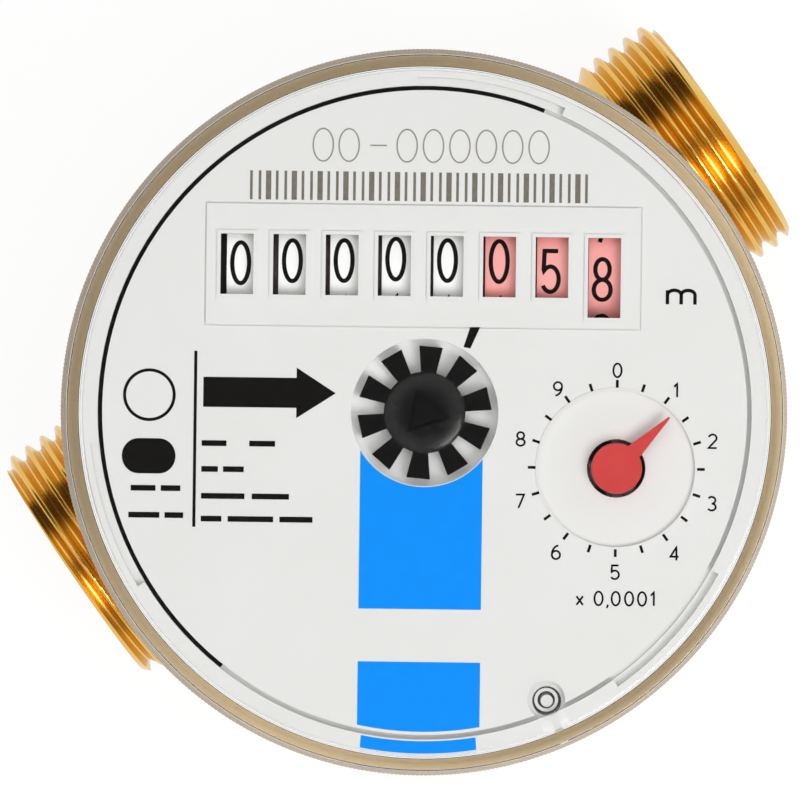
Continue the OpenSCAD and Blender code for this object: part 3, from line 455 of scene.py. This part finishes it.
# painted shade: below their rims the wheels are painted dark, as there they lie out of the light between the
# frame's dark walls
for plastic in (wheel_white, wheel_pink):
    recolour(plastic, "#6A565A", (0, 1, 1), wheel_radius - rim_shown,
             Rotation=(0, 0, -dial_turn), Location=(0, -row_y, -row_z))

# Figures as strokes in a box from -1 to 1, each stroke a line of points
figures = {
    "0": [arc(0, 0, 1, 1, 90, 450)],
    "1": [[(-0.6, 0.5), (0.15, 1), (0.15, -1)]],
    "2": [arc(0, 0.45, 0.95, 0.55, 165, -28) + [(-1, -1), (1, -1)]],
    "3": [arc(-0.05, 0.5, 0.9, 0.5, 150, -90), arc(-0.05, -0.5, 1, 0.5, 90, -150)],
    "4": [[(0.45, -1), (0.45, 1), (-1, -0.45), (1, -0.45)]],
    "5": [[(0.85, 1), (-0.75, 1), (-0.85, 0.08)] + arc(-0.05, -0.38, 1, 0.62, 140, -150)],
    "6": [arc(0, -0.4, 1, 0.6, 90, 450), arc(0.75, -0.4, 1.75, 1.4, 180, 95)],
    "7": [[(-1, 1), (1, 1), (-0.35, -1)]],
    "8": [arc(0, 0.5, 0.85, 0.5, 90, 450), arc(0, -0.5, 1, 0.5, 90, 450)],
    "9": [arc(0, 0.4, 1, 0.6, 90, 450), arc(-0.75, 0.4, 1.75, 1.4, 0, -85)],
    "x": [[(-0.8, -1), (0.8, 0.3)], [(-0.8, 0.3), (0.8, -1)]],
    ",": [[(0.1, -0.9), (-0.2, -1.4)]],
    "m": [[(-1, -1), (-1, 0.35)], arc(-0.5, -0.1, 0.5, 0.45, 180, 0) + [(0, -1)],
          arc(0.5, -0.1, 0.5, 0.45, 180, 0) + [(1, -1)]],
}


def ribbon(line, width, longest=0.4, mitre=0.5):
    """A flat band of even width along a line, in short pieces, closed where the line is. Longest is the
    length of a piece, and mitre keeps the tips of sharp corners short."""
    closed = math.dist(line[0], line[-1]) < 1e-6
    points = []
    for a, b in zip(line, line[1:]):
        count = max(1, math.ceil(math.dist(a, b) / longest))
        points += [Vector(a).lerp(Vector(b), k / count) for k in range(count)]
    if not closed:
        points.append(Vector(line[-1]))
    total = len(points)
    corners = []
    for k, point in enumerate(points):
        before = points[k - 1] if closed or k else point
        after = points[(k + 1) % total] if closed or k < total - 1 else point
        ahead = (after - point).normalized() if after != point else (point - before).normalized()
        behind = (point - before).normalized() if before != point else ahead
        across = Vector((-(ahead + behind).y, (ahead + behind).x)).normalized()
        share = max(mitre, across.dot(Vector((-ahead.y, ahead.x))))
        corners += [tuple(point + across * width / 2 / share), tuple(point - across * width / 2 / share)]
    following = [(k + 1) % total for k in range(total if closed else total - 1)]
    return corners, [[2 * k, 2 * k + 1, 2 * after + 1, 2 * after] for k, after in enumerate(following)]


def written(sign, middle_x, middle_y, width, height, stroke):
    """The strokes of one figure or sign at its place and size."""
    half = ((width - stroke) / 2, (height - stroke) / 2)
    return [ribbon([(middle_x + x * half[0], middle_y + y * half[1]) for x, y in line], stroke)
            for line in figures[sign]]


def on_wheel(middle_x):
    """A way to lay a flat corner round a wheel's rim, counted from the rim's top."""
    def lay(corner):
        angle = math.pi / 2 - corner.y / wheel_radius
        reach = wheel_radius - ink_sink
        return to_row @ Vector((middle_x + corner.x, row_y + reach * math.cos(angle),
                                row_z + reach * math.sin(angle)))
    return lay


for i in range(1, wheel_count + 1):
    dress(wheel_white if i <= white_wheels else wheel_pink, f"number_wheel_{i}")
    strokes = []
    for digit in range(10):
        turn = (digit - reading[i - 1]) * digit_turn - math.radians(wheel_lag[i - 1])
        strokes += written(str(digit), 0, -turn * wheel_radius / mm, figure_width, figure_height,
                           figure_stroke)
    wheel_middle = (i - (wheel_count + 1) / 2) * wheel_pitch + figure_shift
    ink_piece(f"wheel_{i}_figures", strokes, black_ink, f"wheel_{i}", on_wheel(wheel_middle))

# ---- Dial plate --------------------------------------------------------------------------
# The round white dial, moulded in ABS, with a raised panel for the windows, a well for the
# star wheel and a dish for the pointer. Its scale and fields are screen-printed.
dial_abs = moulded("moulded_dial_abs", "#E8E8E7", "#E2E2E0", 0.34, cloud=12.0, relief=0.03)
dress(dial_abs, "dial_plate")
# painted light: the well's floor is painted a purer white, to make up for the star's shade over it
well_radius = 7.18 * mm
well_top = 59.6 * mm
recolour(dial_abs, "#FCFCFB", (1, 1, 0), well_radius, well_top)
well_edge = 7.2
band_top_end = -19.0
band_low_start = -24.1
band_low_reach = 30.85
left, right = band_middle - band_half, band_middle + band_half
well_from = 180 + math.degrees(math.acos(-left / well_edge))
well_to = 360 - math.degrees(math.acos(right / well_edge))
low_from = -180 + math.degrees(math.acos(-left / band_low_reach))
low_to = -math.degrees(math.acos(right / band_low_reach))
band_upper = field((left, band_top_end), (right, band_top_end),
                   *arc(0, 0, well_edge, well_edge, well_to, well_from, 4))
band_lower = field(*arc(0, 0, band_low_reach, band_low_reach, low_from, low_to, 2),
                   (right, band_low_start), (left, band_low_start))
ink_piece("dial_band", [band_upper, band_lower], blue_ink, "register", on_plate(plate_top))

# Scale around the pointer: twenty ticks and ten plain figures, with the step they count in
pointer_x, pointer_y = 18.58, -5.17
tick_inner, tick_outer, tick_width = 7.65, 8.55, 0.27
scale_reach = 9.75
scale_drop = 0.28
scale_width, scale_height, scale_stroke = 0.98, 1.5, 0.19
black_marks = []
for k in range(20):
    a = math.radians(90 - 18 * k)
    black_marks.append(ribbon([(pointer_x + r * math.cos(a), pointer_y + r * math.sin(a))
                               for r in (tick_inner, tick_outer)], tick_width))
for k in range(10):
    a = math.radians(90 - 36 * k)
    black_marks += written(str(k), pointer_x + scale_reach * math.cos(a),
                           pointer_y - scale_drop + scale_reach * math.sin(a),
                           scale_width, scale_height, scale_stroke)
step_y = -17.75
step_signs = (("x", 15.2), ("0", 17.02), (",", 17.9), ("0", 18.68), ("0", 19.97), ("0", 21.22),
              ("1", 22.3))
for sign, x in step_signs:
    black_marks += written(sign, x, step_y, scale_width, scale_height, scale_stroke)

# Unit of the counter, the comma under the row, and the upright rule
unit_x, unit_y = 24.65, 11.75
unit_width, unit_height, unit_stroke = 3.0, 2.35, 0.34
comma = ((4.3, 8.28), (3.68, 6.36), (4.35, 6.25), (5.26, 8.3))
rule_x, rule_top, rule_low, rule_width = -22.16, 5.7, -11.3, 0.3
black_marks += written("m", unit_x, unit_y, unit_width, unit_height, unit_stroke)
black_marks.append(field(*comma))
black_marks.append(ribbon([(rule_x, rule_top), (rule_x, rule_low)], rule_width))

# Plain fields to the left: a ring, a rounded block, a flow arrow and lines of dashes
circle_x, circle_y, circle_radius, circle_line = -26.6, 1.4, 2.4, 0.3
block_left, block_right, block_y = -27.6, -25.6, -4.5
block_end, block_half = 1.6, 1.7
arrow = ((-21.4, 0.3), (-21.4, 3.2), (-12.4, 3.2), (-12.4, 4.2), (-8.6, 1.75), (-12.4, -0.7), (-12.4, 0.3))
black_marks.append(ribbon(arc(circle_x, circle_y, circle_radius, circle_radius, 90, 450), circle_line))
black_marks.append(field(*arc(block_left, block_y, block_end, block_half, 270, 90),
                         *arc(block_right, block_y, block_end, block_half, 90, -90)))
black_marks.append(field(*arrow))
# each row of dashes is its height on the dial, then (start, length) of every dash
dash_rows = ((-7.6, ((-28.3, 2.4), (-25.4, 1.9))), (-10.2, ((-28.5, 3.0), (-25.0, 1.8))),
             (-3.2, ((-21.5, 2.4), (-16.9, 2.5))), (-5.7, ((-21.5, 1.6), (-19.4, 2.0))),
             (-8.3, ((-21.5, 4.2), (-16.6, 3.6))),
             (-10.5, ((-21.5, 2.0), (-18.9, 4.4), (-13.9, 3.2))))
dash_height = 0.55
for y, dashes in dash_rows:
    for x, length in dashes:
        black_marks.append(ribbon([(x, y), (x + length, y)], dash_height))
ink_piece("dial_marks", black_marks, black_ink, "register", on_plate(plate_top))

# Burnt-in grey row of bars and hairline ovals above the counter
burnt_ink = moulded("burnt_grey_print", "#857F74", "#5F5A50", 0.6, cloud=0.4, grain=0.12, relief=0.2)
bar_low, bar_high = 20.4, 23.2
bar_start, bar_pitch, bar_count = -17.0, 0.83, 40
bar_widths = (0.26, 0.26, 0.52)
grey_marks = []
for k in range(bar_count):
    x = bar_start + k * bar_pitch
    grey_marks.append(ribbon([(x, bar_low), (x, bar_high)], bar_widths[k % len(bar_widths)]))
ink_piece("dial_bars", grey_marks, burnt_ink, "register", on_plate(plate_top))
hair_ink = moulded("hairline_grey_print", "#A29F98", "#8A867E", 0.6, cloud=0.4, grain=0.12, relief=0.1)
hair_width, hair_height, hair_stroke = 2.1, 3.3, 0.15
hair_y = 25.75
hair_dash_start, hair_dash_end = -5.55, -3.95
oval_places = (-10.1, -7.6, -2.0, 0.55, 3.1, 5.65, 8.2, 10.75)
hair_marks = [ribbon([(hair_dash_start, hair_y), (hair_dash_end, hair_y)], hair_stroke)]
for x in oval_places:
    hair_marks += written("0", x, hair_y, hair_width, hair_height, hair_stroke)
ink_piece("dial_hairlines", hair_marks, hair_ink, "register", on_plate(plate_top))

# ---- Pointer -----------------------------------------------------------------------------
# A red acetal pointer pressed on its arbor: a round hub and a blade that tapers to a point,
# with edges softened by the mould.
soft_pointer = copy_of("pointer", "soft_pointer")
pointer_edge = 0.12 * mm
edge_angle = math.radians(50)
apply_modifier(soft_pointer, "BEVEL", width=pointer_edge, segments=2, limit_method="ANGLE",
               angle_limit=edge_angle)
shade(soft_pointer)
pointer_red = moulded("moulded_red_acetal", "#D8302E", "#C72527", 0.36, cloud=2.0, grain=0.18, relief=0.3)
dress(pointer_red, soft_pointer)
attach(soft_pointer, "pointer_unit")
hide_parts("pointer")

# ---- Star wheel --------------------------------------------------------------------------
# The black star that shows the smallest flow, moulded in glossy nylon with softened edges.
# A triangle is cut in its hub, so that slow turning shows.
soft_star = copy_of("star_wheel", "soft_star")
star_edge = 0.2 * mm
apply_modifier(soft_star, "BEVEL", width=star_edge, segments=3, limit_method="ANGLE", angle_limit=edge_angle)
triangle_reach = 2.25
triangle_line = 0.26
triangle_from = 109
triangle_floor = 58.95 * mm
triangle_tool_height = 0.9 * mm
triangle_angles = [math.radians(triangle_from + 120 * k) for k in (0, 1, 2, 0)]
corners, faces = ribbon([(triangle_reach * math.cos(a), triangle_reach * math.sin(a))
                         for a in triangle_angles], triangle_line)
tool_mesh = bpy.data.meshes.new("triangle_tool")
tool_mesh.from_pydata([to_row @ Vector((x * mm, y * mm, triangle_floor)) for x, y in corners], [], faces)
triangle_tool = bpy.data.objects.new("triangle_tool", tool_mesh)
bpy.context.scene.collection.objects.link(triangle_tool)
apply_modifier(triangle_tool, "SOLIDIFY", thickness=triangle_tool_height, offset=1)
apply_modifier(soft_star, "BOOLEAN", object=triangle_tool, operation="DIFFERENCE", solver="EXACT")
bpy.data.objects.remove(triangle_tool)
star_black = moulded("moulded_black_nylon", "#100F0E", "#0A0909", 0.14, cloud=1.5, grain=0.2, relief=0.06,
                     **{"Specular IOR Level": 0.35})
shade(soft_star)
dress(star_black, soft_star)
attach(soft_star, "star_unit")
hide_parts("star_wheel")

# ---- Clear cover -------------------------------------------------------------------------
# The dome over the dial, moulded in clear polycarbonate, with a hollow peg that keeps the
# dial from turning. Light passes it, and its thick edge shows as bright and dark rings.
cover_low, cover_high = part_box("clear_cover")
foot_width, foot_height = 1.0 * mm, 1.6 * mm
wall_thickness, top_thickness = 1.1 * mm, 2.5 * mm
foot_radius = cover_high.x
wall_outer = foot_radius - foot_width
wall_inner = wall_outer - wall_thickness
foot_top = cover_low.z + foot_height
cover_under = cover_high.z - top_thickness
outer_round, inner_round = 0.25 * mm, 0.5 * mm
flute_count = 540
flute_depth = 0.05 * mm
flute_start, flute_stop = 0.5 * mm, 0.3 * mm
flute_slack = 0.03 * mm
flute_low, flute_high = foot_top + flute_start, cover_high.z - outer_round - flute_stop
dome_profile = [
    (wall_inner, cover_low.z), (foot_radius, cover_low.z), (foot_radius, foot_top), (wall_outer, foot_top),
    (wall_outer, flute_low), (wall_outer, flute_high),
    *arc(wall_outer - outer_round, cover_high.z - outer_round, outer_round, outer_round, 0, 90, 15),
    (0.0, cover_high.z), (0.0, cover_under),
    *arc(wall_inner - inner_round, cover_under - inner_round, inner_round, inner_round, 90, 0, 30)]
dome = turned("clear_dome", dome_profile, 2 * flute_count)
for corner in dome.data.vertices:
    reach = corner.co.xy.length
    step = round(math.atan2(corner.co.y, corner.co.x) * flute_count / math.pi)
    on_flutes = flute_low - flute_slack < corner.co.z < flute_high + flute_slack
    if step % 2 and reach > wall_outer - flute_depth / 2 and on_flutes:
        corner.co.xy *= 1 - flute_depth / reach

# the hollow peg and the web that joins it to the wall
peg_reach = 30.1 * mm
peg_turn = dial_turn + math.radians(-66.35)
peg_place = Matrix.Rotation(peg_turn, 4, "Z") @ Matrix.Translation((peg_reach, 0, 0))
peg_root = 0.15 * mm
peg_low, peg_high = 58.7 * mm, cover_under + peg_root
peg_round = 0.25 * mm
peg_outer, peg_bore = 1.4 * mm, 0.59 * mm
peg_steps = 64
peg = turned("peg", [(peg_bore, peg_high), (peg_bore, peg_low + peg_round), (peg_bore + peg_round, peg_low),
                     (peg_outer - peg_round, peg_low), (peg_outer, peg_low + peg_round),
                     (peg_outer, peg_high)], peg_steps)
# the web runs a little way into the peg, and on into the wall
web_low, web_width = 60.15 * mm, 0.8 * mm
web_root, web_overlap = 0.3 * mm, 0.8 * mm
web_length = wall_inner - peg_reach - peg_outer + web_overlap
start_fresh()
bpy.ops.mesh.primitive_cube_add(size=1)
web = bpy.context.object
web.data.transform(Matrix.Translation((peg_outer - web_root + web_length / 2, 0, (web_low + peg_high) / 2))
                   @ Matrix.Diagonal((web_length, web_width, peg_high - web_low, 1)))
for tool in (peg, web):
    tool.data.transform(peg_place)
    apply_modifier(dome, "BOOLEAN", object=tool, operation="UNION", solver="EXACT")
    bpy.data.objects.remove(tool)
shade(dome)

# Clear polycarbonate, moulded: polished, with slow waves in it. Light reaches what lies under it.
clear = new_material("clear_polycarbonate")
clear_place = add_node(clear, "TexCoord").outputs["Object"]
clear_waves = add_node(clear, "TexNoise", {"Scale": 1 / (14 * mm), "Detail": 2}, {"Vector": clear_place})
clear_relief = add_node(clear, "Bump", {"Strength": 0.02, "Distance": 0.05 * mm},
                        {"Height": clear_waves.outputs["Fac"]})
clear_surface = add_node(clear, "BsdfPrincipled",
                         {"Base Color": linear("#FEFEFD"), "Roughness": 0.01, "IOR": 1.58,
                          "Transmission Weight": 1.0}, {"Normal": clear_relief.outputs["Normal"]})
clear_path = add_node(clear, "LightPath")
clear_light = add_node(clear, "Math", links={0: clear_path.outputs["Is Shadow Ray"],
                                             1: clear_path.outputs["Is Diffuse Ray"]}, operation="MAXIMUM")
clear_through = add_node(clear, "BsdfTransparent", {"Color": linear("#F8F8F8")})
clear_mix = add_node(clear, "MixShader", links={0: clear_light.outputs["Value"],
                                                1: clear_surface.outputs["BSDF"],
                                                2: clear_through.outputs["BSDF"]})
add_node(clear, "OutputMaterial", links={"Surface": clear_mix.outputs["Shader"]})
dress(clear, dome)
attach(dome, "register")
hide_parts("clear_cover")

# ---- Floor, light and camera -------------------------------------------------------------
# A plain white table under a soft sky and one wide lamp, seen from straight above. The camera,
# metal and glass share one backdrop: white at the horizon, and above it a studio with a dark
# wall on one side and the camera overhead.
start_fresh()
floor_size = 4
floor_drop = 0.02 * mm
bpy.ops.mesh.primitive_plane_add(size=floor_size, location=(0, 0, -floor_drop))
floor = bpy.context.object
floor.name = "floor"

# Matt white board. What sees it as a backdrop gets mostly plain white, and the rest its shadow.
backdrop_share = 0.88
white_table = new_material("white_table")
table_path = add_node(white_table, "LightPath")
table_sight = add_node(white_table, "Math", links={0: table_path.outputs["Is Camera Ray"],
                                                   1: table_path.outputs["Is Glossy Ray"]},
                       operation="MAXIMUM")
table_seen = add_node(white_table, "Math", links={0: table_sight.outputs["Value"],
                                                  1: table_path.outputs["Is Transmission Ray"]},
                      operation="MAXIMUM")
table_share = add_node(white_table, "Math", {1: backdrop_share}, {0: table_seen.outputs["Value"]},
                       operation="MULTIPLY")
table_matt = add_node(white_table, "BsdfDiffuse", {"Color": linear("#F4F4F4")})
table_white = add_node(white_table, "Emission", {"Color": (1, 1, 1, 1), "Strength": 1.02})
table_mix = add_node(white_table, "MixShader", links={0: table_share.outputs["Value"],
                                                      1: table_matt.outputs["BSDF"],
                                                      2: table_white.outputs["Emission"]})
add_node(white_table, "OutputMaterial", links={"Surface": table_mix.outputs["Shader"]})
dress(white_table, floor)

# The sky's limits are parts of a direction of length one: its height, its Y, or how far it
# points to the lamp. The lamp itself isn't mirrored, and a bright spot in the studio stands for it.
wall_from, wall_full = 0.5, 0.7
studio_power, wall_power = 0.95, 0.1
spot_edge, spot_core, spot_power = 0.955, 0.985, 4.5
horizon_white, horizon_end = 0.06, 0.075
soft_power = 0.83
studio = bpy.data.worlds.new("studio")
bpy.context.scene.world = studio
studio.use_nodes = True
studio.node_tree.nodes.clear()
sky_place = add_node(studio, "TexCoord").outputs["Generated"]
sky_axes = add_node(studio, "SeparateXYZ", links={"Vector": sky_place})
sky_ramp = add_node(studio, "ValToRGB", links={"Fac": sky_axes.outputs["Z"]})
sky_ramp.color_ramp.elements[0].color = (0.5, 0.5, 0.5, 1)
sky_ramp.color_ramp.elements[1].color = (0.04, 0.04, 0.04, 1)
for spot, grey in ((0.3, 0.6), (0.6, 0.8), (0.75, 1.15), (0.98, 1.15), (0.993, 0.05)):
    sky_ramp.color_ramp.elements.new(spot).color = (grey, grey, grey, 1)
sky_side = add_node(studio, "MapRange", {"From Min": wall_from, "From Max": wall_full,
                                         "To Min": studio_power, "To Max": wall_power},
                    {"Value": sky_axes.outputs["Y"]})
lamp_place = Vector((0.1, -0.39, 0.7))
sky_toward = add_node(studio, "VectorMath", {1: lamp_place.normalized()}, {0: sky_place},
                      operation="DOT_PRODUCT")
sky_patch = add_node(studio, "MapRange", {"From Min": spot_edge, "From Max": spot_core, "To Max": spot_power},
                     {"Value": sky_toward.outputs["Value"]})
sky_power = add_node(studio, "Math", links={0: sky_side.outputs["Result"], 1: sky_patch.outputs["Result"]},
                     operation="ADD")
sky_gloss = add_node(studio, "Background", links={"Color": sky_ramp.outputs["Color"],
                                                  "Strength": sky_power.outputs["Value"]})
soft_ramp = add_node(studio, "ValToRGB", links={"Fac": sky_axes.outputs["Z"]})
soft_ramp.color_ramp.elements[0].color = (0.3, 0.3, 0.3, 1)
soft_ramp.color_ramp.elements[1].color = (2.8, 2.8, 2.8, 1)
for spot, grey in ((0.5, 0.4), (0.8, 1.1)):
    soft_ramp.color_ramp.elements.new(spot).color = (grey, grey, grey, 1)
sky_soft = add_node(studio, "Background", {"Strength": soft_power}, {"Color": soft_ramp.outputs["Color"]})
sky_seen = add_node(studio, "Background", {"Color": (1, 1, 1, 1), "Strength": 1.0})
sky_above = add_node(studio, "MapRange", {"From Min": horizon_white, "From Max": horizon_end},
                     {"Value": sky_axes.outputs["Z"]})
sky_studio = add_node(studio, "MixShader", links={0: sky_above.outputs["Result"],
                                                  1: sky_seen.outputs["Background"],
                                                  2: sky_gloss.outputs["Background"]})
sky_path = add_node(studio, "LightPath")
sky_mirror = add_node(studio, "Math", links={0: sky_path.outputs["Is Glossy Ray"],
                                             1: sky_path.outputs["Is Transmission Ray"]}, operation="MAXIMUM")
sky_shown = add_node(studio, "Math", links={0: sky_path.outputs["Is Camera Ray"],
                                            1: sky_mirror.outputs["Value"]}, operation="MAXIMUM")
sky_mix = add_node(studio, "MixShader", links={0: sky_shown.outputs["Value"],
                                               1: sky_soft.outputs["Background"],
                                               2: sky_studio.outputs["Shader"]})
add_node(studio, "OutputWorld", links={"Surface": sky_mix.outputs["Shader"]})

lamp_width, lamp_depth, lamp_watts = 0.4, 0.3, 2.6
lamp_target = Vector((0, 0, 40 * mm))
lamp = bpy.data.lights.new("key_lamp", "AREA")
lamp.shape = "RECTANGLE"
lamp.size, lamp.size_y, lamp.energy = lamp_width, lamp_depth, lamp_watts
lamp_object = bpy.data.objects.new("key_lamp", lamp)
bpy.context.scene.collection.objects.link(lamp_object)
lamp_object.location = lamp_place
lamp_object.rotation_euler = (lamp_target - lamp_place).to_track_quat("-Z", "Y").to_euler()
lamp_object.visible_camera = lamp_object.visible_glossy = lamp_object.visible_transmission = False

camera_turn = math.radians(-34.3)
camera_data = bpy.data.cameras.new("camera")
camera_data.lens = 351.7
camera_data.sensor_width = 36
camera_data.clip_start, camera_data.clip_end = 0.05, 20
camera = bpy.data.objects.new("camera", camera_data)
bpy.context.scene.collection.objects.link(camera)
camera.location = (-1.28 * mm, 2.34 * mm, 815.5 * mm)
camera.rotation_euler = (0, 0, camera_turn)
bpy.context.scene.camera = camera
bpy.context.scene.view_settings.view_transform = "Standard"

bpy.context.view_layer.update()
